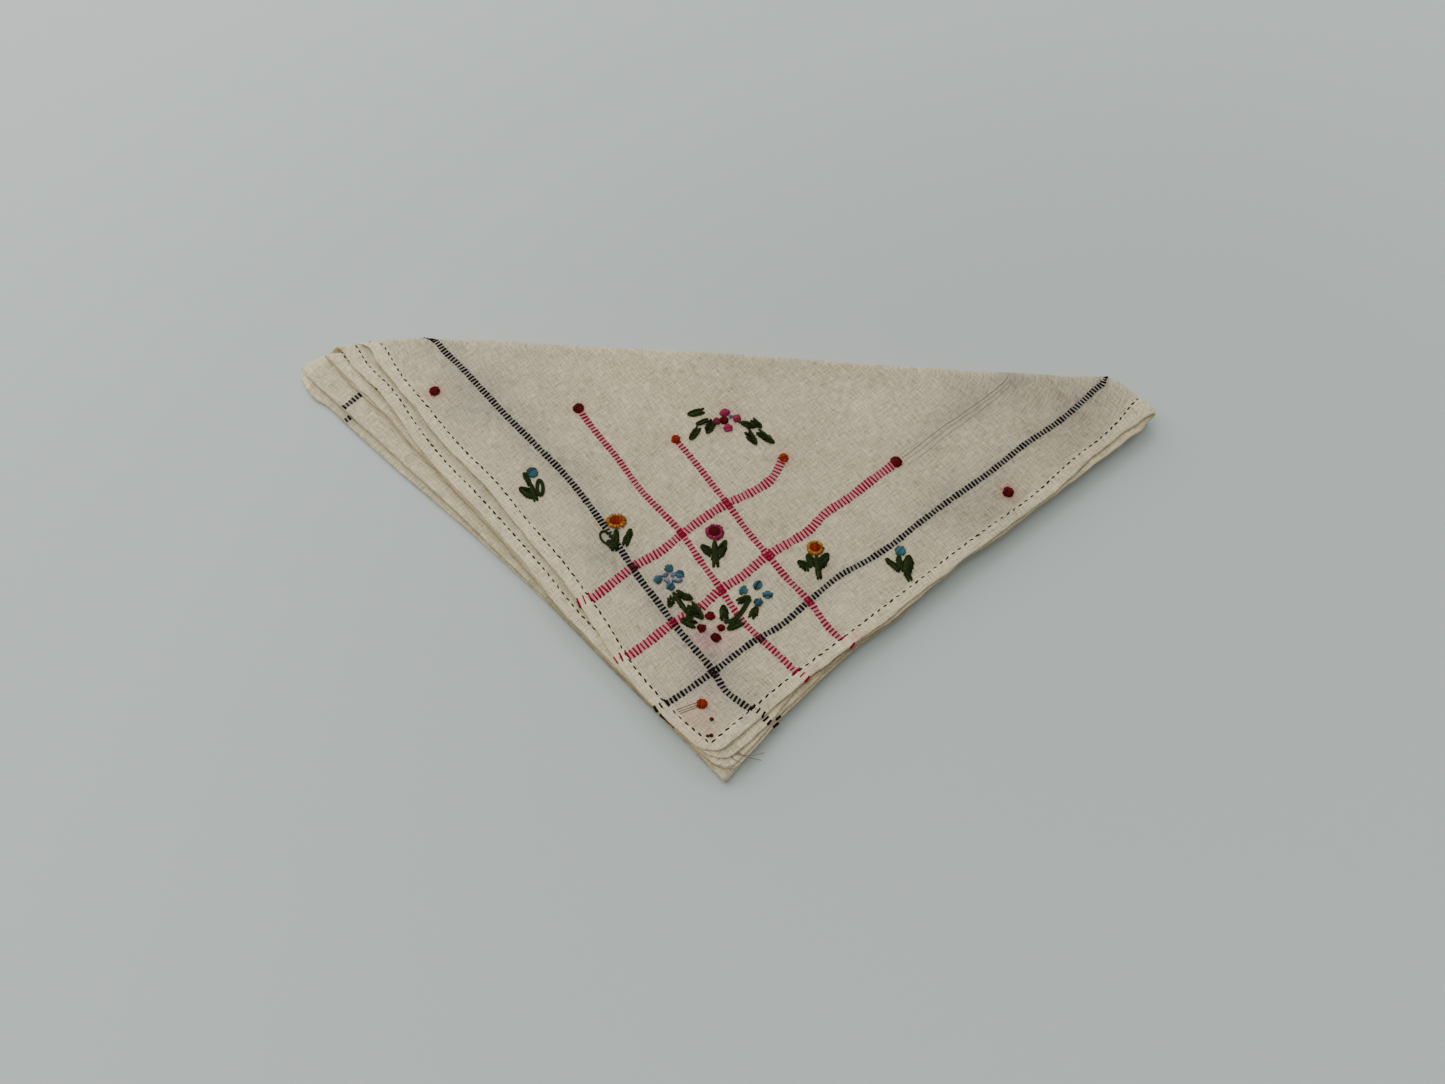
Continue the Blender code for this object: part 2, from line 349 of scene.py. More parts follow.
def makeCloth():
    mesh = flatCloth()
    mesh.verts.index_update()
    flat = np.array([v.co for v in mesh.verts])
    faces = [[v.index for v in f.verts] for f in mesh.faces]
    loops = [e.link_loops[0] for e in mesh.edges if e.is_boundary]
    rims = [(loop.vert.index, loop.link_loop_next.vert.index) for loop in loops]
    mesh.free()
    inset = half - np.abs(flat[:, :2]).max(1)
    depth = hemHalf(inset)
    flat = blunted(flat)
    for side in (0, 1):
        along = flat[:, 1 - side] / mm
        wander = uneven("wander", along, side)
        pucker = uneven("pucker", along, side)
        reach = foldSizes["hemWidth"] * foldSizes["hemReach"]
        close = np.clip(1 - (half - np.abs(flat[:, side])) / reach, 0, 1)
        flat[:, side] += np.sign(flat[:, side]) * close * wander * foldSizes["hemWander"]
        depth *= 1 + (close > 0) * np.sin(np.pi * close) * pucker * foldSizes["hemPucker"]
    under, over = flat.copy(), flat.copy()
    under[:, 2] = -depth
    over[:, 2] = depth
    count = len(flat)
    places = np.concatenate([layCloth(over), layCloth(under)])
    polygons = faces + [[i + count for i in reversed(f)] for f in faces]
    polygons += [[b, a, a + count, b + count] for a, b in rims]
    data = bpy.data.meshes.new("linenSheet")
    data.from_pydata(places.tolist(), [], polygons)
    data.update()
    data.shade_smooth()
    flats = np.concatenate([flat, flat])
    corners = np.zeros(len(data.loops), dtype=np.int32)
    data.loops.foreach_get("vertex_index", corners)
    layer = data.uv_layers.new(name="flat")
    spread = flats[corners, :2] / foldSizes["side"] + 0.5
    layer.data.foreach_set("uv", spread.astype(np.float32).ravel())
    return addObject("linenCloth", data), flats


cloth, flats = makeCloth()
print("cloth", len(cloth.data.vertices), len(cloth.data.polygons))

# Colours that follow the cloth
def linear(red, green, blue):
    return tuple(
        v / 12.92 if v <= 0.04045 else ((v + 0.055) / 1.055) ** 2.4
        for v in (red / 255, green / 255, blue / 255)
    )


inks = {
    "linen": (213, 199, 166),
    "black": (16, 13, 11),
    "pink": (156, 6, 52),
    "darkRed": (88, 0, 7),
    "crimson": (84, 0, 8),
    "orange": (152, 42, 6),
    "ember": (128, 32, 5),
    "amber": (170, 112, 38),
    "rose": (150, 40, 76),
    "blue": (60, 98, 107),
    "lilac": (104, 110, 132),
    "leaf": (35, 47, 11),
    "stem": (40, 52, 16),
    "stitch": (34, 25, 17),
    "faint": (158, 150, 131),
    "rust": (78, 28, 16),
    "fuzz": (124, 118, 104),
    # the gap inks are painted shade in the drawn-out holes between the bars, tinted by the stripe's dye
    "blackGapShade": (152, 145, 133),
    "pinkGapShade": (198, 142, 140),
    "floor": (207, 215, 210),
    "card": (120, 120, 120),
}
inks = {name: linear(*ink) for name, ink in inks.items()}
# filters over the linen: place and reach on the top leaf, in mm, and what its colour is multiplied by.
# Those that brighten, and the broad grey ones of 5 mm reach and more, are painted light and painted
# shade; the pink, orange, red, rust and bluish ones are stains and bled dye; the small grey ones are
# simply darker spots
dyeAndShadeTable = (
    ((60, 96), 26, (1.09, 1.07, 1.05)),
    ((101, 62), 24, (1.08, 1.07, 1.07)),
    ((41.5, 121), 9, (0.88, 0.88, 0.90)),
    ((139, 56), 30, (0.89, 0.90, 0.91)),
    ((116.8, 27), 4, (0.82, 0.82, 0.85)),
    ((119, 30), 9, (0.88, 0.88, 0.90)),
    ((104.2, 121.2), 2.8, (0.66, 0.74, 0.96)),
    ((129, 24), 24, (0.76, 0.75, 0.78)),
    ((131, 58), 18, (0.86, 0.87, 0.90)),
    ((113, 40), 15, (0.82, 0.82, 0.85)),
    ((43, 130), 13, (0.84, 0.86, 0.92)),
    ((120.0, 121.8), 7.5, (0.90, 0.60, 0.75)),
    ((119.8, 121.2), 1.7, (0.72, 0.74, 1.0)),
    ((124.5, 117.5), 4, (0.90, 0.82, 0.90)),
    ((116, 107), 6, (0.92, 0.92, 0.97)),
    ((104, 121), 6, (0.92, 0.92, 0.97)),
    ((126, 126), 9, (0.88, 0.87, 0.93)),
    ((112, 126), 7, (0.92, 0.91, 0.95)),
    ((129.8, 131.0), 3.2, (0.95, 0.84, 0.93)),
    ((34.2, 133.9), 4.2, (0.96, 0.55, 0.64)),
    ((133.6, 50.0), 4.2, (0.96, 0.55, 0.64)),
    ((59.4, 111.6), 3.0, (0.96, 0.76, 0.80)),
    ((113.9, 64.6), 3.0, (0.96, 0.76, 0.80)),
    ((79.9, 100.0), 2.8, (0.99, 0.80, 0.78)),
    ((98.7, 84.1), 3.4, (0.99, 0.76, 0.76)),
    ((90.5, 130.5), 7, (0.74, 0.77, 0.82)),
    ((123, 95.5), 5, (0.88, 0.89, 0.90)),
    ((124.5, 132), 5, (0.90, 0.90, 0.92)),
    ((131.0, 122.5), 5, (0.90, 0.91, 0.92)),
    ((83.5, 88.6), 6, (0.95, 0.80, 0.87)),
    ((102.3, 107.4), 5, (0.96, 0.87, 0.92)),
    ((86.6, 122.7), 5, (0.97, 0.92, 0.88)),
    ((118.5, 92.3), 5, (0.97, 0.92, 0.88)),
    ((138.9, 110.4), 2.0, (0.90, 0.62, 0.86)),
    ((139.0, 98.0), 2.2, (0.98, 0.62, 0.70)),
    ((138.5, 122.8), 2.6, (0.80, 0.84, 0.80)),
    ((138.6, 119.6), 2.2, (0.80, 0.80, 0.84)),
    ((132, 135), 9, (0.82, 0.72, 0.73)),
    ((137.6, 82.9), 2.6, (0.88, 0.88, 0.88)),
)

# Stripes of wrapped bars, drawn as ladders in the cloth; places are on the flat cloth, in mm
blackLong = (
    (-21, 120.5), (0, 120.4), (12, 123.4), (22.8, 127.4), (33.0, 126.0), (48.1, 125.2),
    (58.7, 124.3), (68.9, 124.5), (80.2, 124.8), (90.9, 125.8), (100.3, 126.4), (107.7, 126.0),
    (118.5, 125.4), (126.3, 125.6), (131.3, 126.7), (137.2, 126.1),
)
blackDown = (
    (125.5, -140), (125.0, -60), (128.4, 0), (132.4, 10.0), (130.8, 15.9), (128.9, 25.1),
    (128.4, 34.3), (128.0, 42.7), (127.6, 61.6), (127.8, 70.9), (128.1, 78.5), (127.6, 85.3),
    (126.6, 91.6), (126.9, 100.9), (127.4, 109.9), (126.9, 113.0), (126.3, 125.6),
    (125.9, 130.6), (125.1, 137.2),
)
# the band where threads were drawn out and never wrapped
drawnLine = (
    (113.9, 63.0), (114.1, 57.1), (114.4, 47.8), (114.8, 38.2), (115.7, 33.2), (117.5, 24.0),
    (118.2, 20.0),
)
# the ink, the width and the path of each stripe
stripeTable = (
    ("black", 1.4, blackLong),
    ("black", 1.3, blackDown),
    # left out at the inner creases on the left, where the bars would show through
    ("black", 1.4, ((-140, 125.4), (-60, 121.4), (-31.5, 120.9))),
    ("black", 1.4, ((-140, -123.0), (-29, -122.9))),
    ("black", 1.4, ((-21, -122.9), (21, -122.9))),
    ("black", 1.4, ((29, -122.9), (140, -124.6))),
    ("black", 1.4, ((-125.0, -140), (-124.4, 0), (-125.2, 140))),
    ("pink", 1.4, (
        (59.6, 111.7), (68.6, 112.3), (84.3, 113.8), (98.0, 113.3), (105.6, 113.7),
        (113.2, 113.6), (122.7, 113.9), (132.2, 113.3), (137.2, 113.4))),
    ("pink", 1.4, (
        (80.2, 100.1), (89.3, 100.5), (99.3, 101.1), (106.1, 101.5), (113.6, 101.3),
        (119.8, 101.1), (126.9, 100.6), (134.3, 101.4), (137.4, 101.3))),
    ("pink", 2.0, (
        (96.9, 137.2), (97.0, 132.0), (97.1, 126.2), (98.3, 119.3), (98.2, 113.4), (98.4, 107.0),
        (99.1, 100.9), (100.4, 95.2), (100.8, 89.7), (98.8, 84.6))),
    ("pink", 2.0, (
        (111.9, 137.2), (112.3, 132.3), (112.5, 125.9), (113.7, 119.4), (113.3, 113.6),
        (113.8, 108.7), (113.6, 101.3), (114.3, 95.8), (114.8, 91.2), (114.0, 85.5),
        (114.3, 79.7), (114.1, 72.0), (114.0, 65.4))),
    # where a stripe crosses the hem it has shifted a little
    ("pink", 1.4, ((137.3, 112.9), (139.9, 112.7))),
    ("pink", 1.4, ((137.5, 100.7), (139.9, 100.2))),
    ("pink", 2.0, ((96.3, 137.3), (95.7, 139.9))),
    ("pink", 2.0, ((111.2, 137.3), (110.8, 139.9))),
    ("black", 1.4, ((137.4, 125.4), (139.9, 124.9))),
    ("black", 1.3, ((124.7, 137.4), (124.4, 139.9))),
)
threadSizes = {
    "barPitch": {"black": 0.88 * mm, "pink": 0.87 * mm},
    "barShare": {"black": 0.75, "pink": 0.64},
    "barThick": 0.70 * mm,
    "barSway": 0.12,
    "pathStep": 0.5 * mm,
    "coarseStep": 1.5 * mm,
    "least": 0.86,  # the sizes of single threads, about the size given
    "most": 1.12,
    "swaySeed": 7,
    "sizeSeed": 11,
}


def smoothPath(points, step):
    # evenly spaced points on a soft curve through the ones given
    points = np.array(points, float) * mm
    span = np.append(0, np.cumsum(np.hypot(*np.diff(points, axis=0).T)))
    slopes = np.gradient(points, span, axis=0)
    at = np.linspace(0, span[-1], max(2, round(span[-1] / step)))
    k = np.clip(np.searchsorted(span, at, side="right") - 1, 0, len(span) - 2)
    wide = (span[k + 1] - span[k])[:, None]
    t = (at - span[k])[:, None] / wide
    return (
        (2 * t**3 - 3 * t**2 + 1) * points[k]
        + (t**3 - 2 * t**2 + t) * wide * slopes[k]
        + (3 * t**2 - 2 * t**3) * points[k + 1]
        + (t**3 - t**2) * wide * slopes[k + 1]
    )


def withHeight(path, high=0.0):
    # places on the flat cloth; above the worked face the height is below zero
    return np.column_stack([path, np.broadcast_to(high, (len(path),))])


def linePiece(name, paths):
    # the paths laid on the folded cloth, with the cloth's own direction at each point
    places, ups, edges = [], [], []
    for path in paths:
        first = len(places)
        flat = withHeight(path)
        tiny = np.array((0, 0, 0.02 * mm))
        up = layCloth(flat - tiny) - layCloth(flat + tiny)
        places += layCloth(flat).tolist()
        ups += (up / np.linalg.norm(up, axis=1)[:, None]).tolist()
        edges += [(first + k, first + k + 1) for k in range(len(path) - 1)]
    data = bpy.data.meshes.new(name)
    data.from_pydata(places, edges, [])
    layer = data.attributes.new("up", "FLOAT_VECTOR", "POINT")
    layer.data.foreach_set("vector", np.array(ups, dtype=np.float32).ravel())
    return addObject(name, data)


class Value:
    # a socket in a node tree, with the sums that are done on it
    def __init__(self, tree, socket=None):
        self.tree = tree
        self.socket = socket

    def node(self, kind, settings, inputs, output=0):
        made = self.tree.nodes.new(kind)
        for label, value in settings.items():
            setattr(made, label, value)
        for label, value in inputs.items():
            if isinstance(value, Value):
                self.tree.links.new(value.socket, made.inputs[label])
            else:
                made.inputs[label].default_value = value
        return Value(self.tree, made.outputs[output] if made.outputs else None)

    def maths(self, operation, first, second):
        return self.node("ShaderNodeMath", {"operation": operation}, {0: first, 1: second})

    def __add__(self, other):
        return self.maths("ADD", self, other)

    def __radd__(self, other):
        return self.maths("ADD", other, self)

    def __sub__(self, other):
        return self.maths("SUBTRACT", self, other)

    def __rsub__(self, other):
        return self.maths("SUBTRACT", other, self)

    def __mul__(self, other):
        return self.maths("MULTIPLY", self, other)

    def __rmul__(self, other):
        return self.maths("MULTIPLY", other, self)


def threadTree(name, sizes, material, rounded):
    # short threads set out along every path, sized along it, across it and through the cloth
    tree = bpy.data.node_groups.new(name, "GeometryNodeTree")
    tree.interface.new_socket("Geometry", in_out="INPUT", socket_type="NodeSocketGeometry")
    for label in sizes:
        tree.interface.new_socket(label, in_out="INPUT", socket_type="NodeSocketFloat")
    tree.interface.new_socket("Geometry", in_out="OUTPUT", socket_type="NodeSocketGeometry")
    start = tree.nodes.new("NodeGroupInput")
    given = {label: Value(tree, start.outputs[label]) for label in ("Geometry", *sizes)}
    node = Value(tree).node
    curve = node("GeometryNodeMeshToCurve", {}, {"Mesh": given["Geometry"]})
    even = node("GeometryNodeResampleCurve", {"mode": "LENGTH"},
                {"Curve": curve, "Length": given["pitch"]})
    up = node("GeometryNodeInputNamedAttribute", {"data_type": "FLOAT_VECTOR"}, {"Name": "up"},
              "Attribute")
    tangent = node("GeometryNodeInputTangent", {}, {})
    onUp = node("FunctionNodeAlignRotationToVector", {"axis": "Z"}, {"Vector": up})
    onLine = node("FunctionNodeAlignRotationToVector", {"axis": "X", "pivot_axis": "Z"},
                  {"Rotation": onUp, "Vector": tangent})
    # a random value takes its least and its most at sockets 2 and 3, and gives a float at output 1
    sway = node("FunctionNodeRandomValue", {"data_type": "FLOAT"},
                {2: given["sway"] * -1.0, 3: given["sway"], "Seed": threadSizes["swaySeed"]}, 1)
    swing = node("ShaderNodeCombineXYZ", {}, {"Z": sway})
    turn = node("FunctionNodeEulerToRotation", {}, {"Euler": swing})
    turned = node("FunctionNodeRotateRotation", {"rotation_space": "LOCAL"},
                  {"Rotation": onLine, "Rotate By": turn})
    size = node("FunctionNodeRandomValue", {"data_type": "FLOAT"},
                {2: threadSizes["least"], 3: threadSizes["most"], "Seed": threadSizes["sizeSeed"]}, 1)
    box = node("ShaderNodeCombineXYZ", {},
               {"X": given["along"], "Y": given["across"], "Z": given["through"]})
    scaled = node("ShaderNodeVectorMath", {"operation": "SCALE"}, {0: box, "Scale": size})
    if rounded:
        thread = node("GeometryNodeMeshUVSphere", {}, {"Segments": 6, "Rings": 4, "Radius": 0.5})
    else:
        upright = node("GeometryNodeMeshCylinder", {}, {"Vertices": 6, "Radius": 0.5, "Depth": 1.0})
        thread = node("GeometryNodeTransform", {},
                      {"Geometry": upright, "Rotation": (math.pi / 2, 0, 0)})
    placed = node("GeometryNodeInstanceOnPoints", {},
                  {"Points": even, "Instance": thread, "Rotation": turned, "Scale": scaled})
    real = node("GeometryNodeRealizeInstances", {}, {"Geometry": placed})
    smooth = node("GeometryNodeSetShadeSmooth", {}, {"Geometry": real})
    painted = node("GeometryNodeSetMaterial", {}, {"Geometry": smooth, "Material": material})
    node("NodeGroupOutput", {}, {"Geometry": painted})
    return tree


def threads(name, paths, sizes, material, rounded=False):
    piece = linePiece(name + "Path", paths)
    tree = threadTree(name + "Tree", sizes, material, rounded)
    made = piece.modifiers.new("threads", "NODES")
    made.node_group = tree
    for item in tree.interface.items_tree:
        if item.in_out == "INPUT" and item.name in sizes:
            made[item.identifier] = float(sizes[item.name])
    bpy.context.view_layer.update()
    seen = piece.evaluated_get(bpy.context.evaluated_depsgraph_get())
    data = bpy.data.meshes.new_from_object(seen)
    bpy.data.objects.remove(piece)
    data.name = name
    return addObject(name, data)


# Materials
dullShine = 0.12  # cloth, thread and paper reflect little


def plain(name, colour, roughness, sheen=0.0):
    material = bpy.data.materials.new(name)
    material.use_nodes = True
    surface = material.node_tree.nodes["Principled BSDF"]
    surface.inputs["Base Color"].default_value = (*colour, 1)
    surface.inputs["Roughness"].default_value = roughness
    surface.inputs["Specular IOR Level"].default_value = dullShine
    surface.inputs["Sheen Weight"].default_value = sheen
    return material, surface, Value(material.node_tree)


def multiplied(value, first, second):
    # one colour seen through another: in a Mix node of colours, 6 and 7 take them and 2 gives one
    return value.node("ShaderNodeMix", {"data_type": "RGBA", "blend_type": "MULTIPLY"},
                      {0: 1.0, 6: first, 7: second}, 2)


def streaks(value, flat, alongX, alongY, seed):
    # thread-like noise, drawn out along one way of the weave
    stretched = value.node("ShaderNodeVectorMath", {"operation": "MULTIPLY"},
                           {0: flat, 1: (alongX, alongY, 1.0)})
    moved = value.node("ShaderNodeVectorMath", {"operation": "ADD"},
                       {0: stretched, 1: (seed, seed, seed)})
    return value.node("ShaderNodeTexNoise", {"noise_dimensions": "2D"},
                      {"Vector": moved, "Scale": 1.0, "Detail": 2.0, "Roughness": 0.6})


# the weave's noise, per mm: across a thread and along it, in the grain and in the clouds
linenLook = {
    "roughness": 0.9,
    "across": 3.4,
    "along": 0.34,
    "grain": 3.2,
    "clouds": 0.09,
    "seeds": {"warp": 3.0, "weft": 41.0, "clouds": 17.0, "grain": 29.0},
    "weaveShare": 0.95,
    "grainShare": 0.62,
    "cloudShare": 0.34,
    "dimmer": 0.46,
    "bump": 0.5,
    "bumpHeight": 0.2 * mm,
    "bumpGrain": 0.6,
}


def linenMaterial():
    look, seeds = linenLook, linenLook["seeds"]
    material, surface, value = plain("linen", inks["linen"], look["roughness"])
    spread = value.node("ShaderNodeUVMap", {"uv_map": "flat"}, {})
    flat = value.node("ShaderNodeVectorMath", {"operation": "SCALE"},
                      {0: spread, "Scale": foldSizes["side"] / mm})
    warp = streaks(value, flat, look["across"], look["along"], seeds["warp"])
    weft = streaks(value, flat, look["along"], look["across"], seeds["weft"])
    clouds = streaks(value, flat, look["clouds"], look["clouds"], seeds["clouds"])
    grain = streaks(value, flat, look["grain"], look["grain"], seeds["grain"])
    weave = warp + weft
    shade = weave * look["weaveShare"] + grain * look["grainShare"] + clouds * look["cloudShare"]
    shade = shade - look["dimmer"]
    grey = value.node("ShaderNodeCombineColor", {}, {0: shade, 1: shade, 2: shade})
    # the cloth's colour filter: stains and bled dye, together with painted shade and painted light
    dyeAndShade = value.node("ShaderNodeAttribute", {"attribute_name": "dyeAndShade"}, {})
    dyedAndShaded = multiplied(value, (*inks["linen"], 1), dyeAndShade)
    woven = multiplied(value, dyedAndShaded, grey)
    value.tree.links.new(woven.socket, surface.inputs["Base Color"])
    bump = value.node("ShaderNodeBump", {}, {
        "Strength": look["bump"],
        "Distance": look["bumpHeight"],
        "Height": weave + grain * look["bumpGrain"],
    })
    value.tree.links.new(bump.socket, surface.inputs["Normal"])
    return material


# an edge that lies over the leaves below it, on the flat cloth in mm; painted shade is laid on those
# leaves close under it
shadedEdgeTable = (
    {"edge": ((9, 140), (140, 140), (140, 0.8)), "leaves": (2, 3, 4, 5, 6, 7, 8), "share": 0.8},
    {"edge": ((-9, 140), (-140, 140), (-140, 0.8)), "leaves": (3, 4, 5, 6, 7, 8), "share": 0.7},
    {"edge": ((-9, -140), (-140, -140), (-140, -0.8)), "leaves": (4, 5, 6, 7, 8), "share": 0.4},
    {"edge": ((0, -140), (0, 0)), "leaves": (6, 7, 8), "share": 0.4},
)
# the painted shade under such an edge, with its reaches in mm, and the corner where there is less of it
edgeShadeLook = {
    "points": 160,
    "bands": ({"share": 0.30, "reach": 0.7}, {"share": 0.06, "reach": 3.6}),
    "tint": (0.85, 0.95, 1.04),
    "corner": {"at": (0, -46), "reach": 34, "less": 0.65},
}
# the hem is paler than the cloth, and its edge is a little darker and browner: partly a brownish edge,
# partly painted shade where it lies on the leaf below; in mm in from the edge
hemLook = {
    "inner": 3.0,
    "soft": 0.4,
    "paler": (0.25, 0.25, 0.22),
    "brownerAndShaded": (0.08, 0.11, 0.15),
}
# painted light: the lowest leaves are painted paler by these shares
lowestPaintedLight = (0.15, 0.15, 0.13)
# a dim band lies along the black stripes and the band that was never wrapped
haloTable = (
    {"path": blackLong, "reach": 4.0, "depth": 0.21},
    {"path": blackDown, "reach": 2.6, "depth": 0.12},
    {"path": drawnLine, "reach": 3.0, "depth": 0.11},
)
haloTint = (1.0, 0.93, 0.70)


def paintShadeUnderEdges(colour):
    # painted light makes the lowest leaves paler; close under an edge, painted shade makes them browner
    # and dimmer
    corner = edgeShadeLook["corner"]
    places, held = layCloth(flats, weights=True)
    lowest = sum(held[n] for n in (5, 6, 7, 8))
    colour *= 1 + lowest[:, None] * np.array(lowestPaintedLight)
    for row in shadedEdgeTable:
        path = np.concatenate([
            np.linspace(a, b, edgeShadeLook["points"]) for a, b in zip(row["edge"], row["edge"][1:])
        ]) * mm
        line = layCloth(withHeight(path))
        tree = KDTree(len(line))
        for k, (x, y, _) in enumerate(line.tolist()):
            tree.insert((x, y, 0), k)
        tree.balance()
        under = sum(held[n] for n in row["leaves"])
        chosen = np.nonzero(under > 0.01)[0]
        gap = np.array([tree.find((x, y, 0))[2] for x, y in places[chosen, :2].tolist()]) / mm
        less = corner["less"] * near(places[chosen], corner["at"], corner["reach"])
        depth = sum(band["share"] * np.exp(-gap / band["reach"]) for band in edgeShadeLook["bands"])
        depth *= row["share"] * (1 - less) * under[chosen]
        colour[chosen] *= 1 - depth[:, None] * np.array(edgeShadeLook["tint"])


def paint(data, name, colour):
    layer = data.color_attributes.new(name, "FLOAT_COLOR", "POINT")
    rgba = np.column_stack([colour, np.ones(len(colour))]).astype(np.float32)
    layer.data.foreach_set("color", rgba.ravel())


def dyeAndShadeCloth():
    # the filter at every point of the sheet: paler hems, stains and bled dye, and painted shade and
    # painted light
    colour = np.ones((len(flats), 3))
    inset = (half - np.abs(flats[:, :2]).max(1)) / mm
    hem = np.clip((hemLook["inner"] - inset) / hemLook["soft"], 0, 1)
    colour *= 1 + hem[:, None] * np.array(hemLook["paler"])
    # painted shade along the very edge, a contact shadow, with a little real brown
    edge = np.clip(1 - inset / hemLook["soft"], 0, 1)
    colour *= 1 - edge[:, None] * np.array(hemLook["brownerAndShaded"])
    for halo in haloTable:
        gap = np.full(len(flats), 1.0)
        for x, y in smoothPath(halo["path"], threadSizes["coarseStep"]):
            gap = np.minimum(gap, np.hypot(flats[:, 0] - x, flats[:, 1] - y))
        depth = np.exp(-(gap / (halo["reach"] * mm)) ** 2)[:, None] * halo["depth"]
        colour *= 1 - depth * np.array(haloTint)
    for at, reach, tint in dyeAndShadeTable:
        colour *= 1 - near(flats, at, reach)[:, None] * (1 - np.array(tint))
    paintShadeUnderEdges(colour)
    # this attribute carries the stains and bled dye together with painted shade and painted light
    paint(cloth.data, "dyeAndShade", colour)


dyeAndShadeCloth()
cloth.data.materials.append(linenMaterial())
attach(cloth, "root")
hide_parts("handkerchief")

# how far the band is above the cloth's face, and its share of the stripe's width
bandSizes = {"above": 0.03 * mm, "share": 0.92}


def backing(paths, widths, material):
    # the drawn-out band that shows between the bars, on both faces of the cloth: a darker sheet,
    # painted shade in the holes, tinted by the stripe
    places, faces = [], []
    for path, width in zip(paths, widths):
        run = np.gradient(path, axis=0)
        run /= np.hypot(run[:, 0], run[:, 1])[:, None]
        out = np.column_stack([-run[:, 1], run[:, 0]]) * width / 2 * mm
        for face in (1, -1):
            first = len(places)
            high = face * (foldSizes["thickness"] / 2 + bandSizes["above"])
            for side in (out * bandSizes["share"], -out * bandSizes["share"]):
                places += layCloth(withHeight(path + side, high)).tolist()
            for k in range(first, first + len(path) - 1):
                faces.append((k, k + 1, k + 1 + len(path), k + len(path))[::face])
    data = bpy.data.meshes.new("drawnBandShade")
    data.from_pydata(places, [], faces)
    data.shade_smooth()
    data.materials.append(material)
    return addObject("drawnBandShade" + material.name, data)


lines = []
for ink in ("black", "pink"):
    shown = [(width, path) for kind, width, path in stripeTable if kind == ink]
    paths = [smoothPath(path, threadSizes["pathStep"]) for _, path in shown]
    # the band between the bars is painted shade, tinted by the stripe's dye
    material = plain(ink + "GapShade", inks[ink + "GapShade"], 0.9)[0]
    lines.append(backing(paths, [width for width, _ in shown], material))
# where two stripes cross the threads are packed close, that far to both sides
crossTable = (
    {"ink": "pink", "at": (
        (98.2, 113.35), (113.4, 113.6), (99.1, 101.05), (113.75, 101.3), (112.5, 125.7),
        (126.9, 100.8))},
    {"ink": "black", "at": ((97.2, 126.1), (126.3, 125.8), (127.1, 113.6))},
)
crossReach = 0.75
crossSizes = {
    "pitch": 0.36 * mm,
    "along": 0.34 * mm,
    "across": 1.5 * mm,
    "through": 0.78 * mm,
    "sway": 0.1,
}
for row in crossTable:
    material = plain(row["ink"] + "Crossing", inks[row["ink"]], 0.75)[0]
    paths = [
        smoothPath(((x - crossReach, y), (x + crossReach, y)), 0.3 * mm) for x, y in row["at"]
    ]
    lines.append(threads(row["ink"] + "Crossings", paths, crossSizes, material))
for ink in ("black", "pink"):
    material = plain(ink + "Thread", inks[ink], 0.75)[0]
    for width in sorted({wide for kind, wide, _ in stripeTable if kind == ink}):
        paths = [
            smoothPath(path, threadSizes["pathStep"])
            for kind, wide, path in stripeTable if (kind, wide) == (ink, width)
        ]
        name = ink + "Bars" + str(round(width * 10))
        sizes = {
            "pitch": threadSizes["barPitch"][ink],
            "along": threadSizes["barShare"][ink] * threadSizes["barPitch"][ink],
            "across": width * mm,
            "through": threadSizes["barThick"],
            "sway": threadSizes["barSway"],
        }
        lines.append(threads(name, paths, sizes, material))
print("stripes", sum(len(o.data.polygons) for o in lines))


# the line of stitches, in mm: it stops short of the corners, and none show at the folded end on
# the left, in the middle of two of the sides
stitchLine = {"points": 70, "short": 1, "gap": 12.5, "wander": 0.22, "wanderLength": 13, "row": 7.0}
stitchSizes = {
    "pitch": 1.75 * mm,
    "along": 1.50 * mm,
    "across": 0.50 * mm,
    "through": 0.80 * mm,
    "sway": 0.25,
}


def hemPaths():
    # just inside the hem on each side, a little uneven
    reach = (half - foldSizes["hemWidth"]) / mm
    far = reach - stitchLine["short"]
    length, row = stitchLine["wanderLength"], stitchLine["row"]
    paths = []
    for k in range(4):
        gap = stitchLine["gap"] if k % 2 == 0 else 0
        for start, end in ((-far, -gap), (gap, far)):
            at = np.linspace(start, end, stitchLine["points"])
            sway = np.array([noise.noise(Vector((x / length, row * k, 0.5))) for x in at])
            line = np.column_stack([at, reach + stitchLine["wander"] * sway])
            turn = np.array(((0, -1), (1, 0)))
            for _ in range(k):
                line = line @ turn
            paths.append(line * mm)
    return paths


stitchMaterial = plain("hemThread", inks["stitch"], 0.8)[0]
stitches = threads("hemStitches", hemPaths(), stitchSizes, stitchMaterial, rounded=True)
lines.append(stitches)
print("stitches", len(stitches.data.polygons))
for piece in lines:
    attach(piece, "root")

# Embroidery: threads laid on the top leaf. Motifs are drawn upright, right and up in mm, about
# a place on the flat cloth: x, y, and where it matters how tall and how leaning they come out
motifTurn = np.array(((0.626, -0.780), (-0.780, -0.626)))
# heights above the cloth's face, along each kind of stitch, are in mm
flossSizes = {
    "thread": 0.25 * mm,
    "hair": 0.07 * mm,
    "sides": 6,
    "leafStep": 0.60,
    "leafWide": 1.05,
    "leafHighs": (0.02, 0.32, 0.20),
    "loopHigh": 0.20,
    "stemHigh": 0.16,
    "padHigh": 0.42,
    "padArch": (0.0, 0.75, 1.0, 0.75, 0.0),
    "bloomHighs": (0.05, 0.40, 0.30),
    "spokes": 19,
}
flossPoints, flossFaces, flossInksAndShade = [], [], []


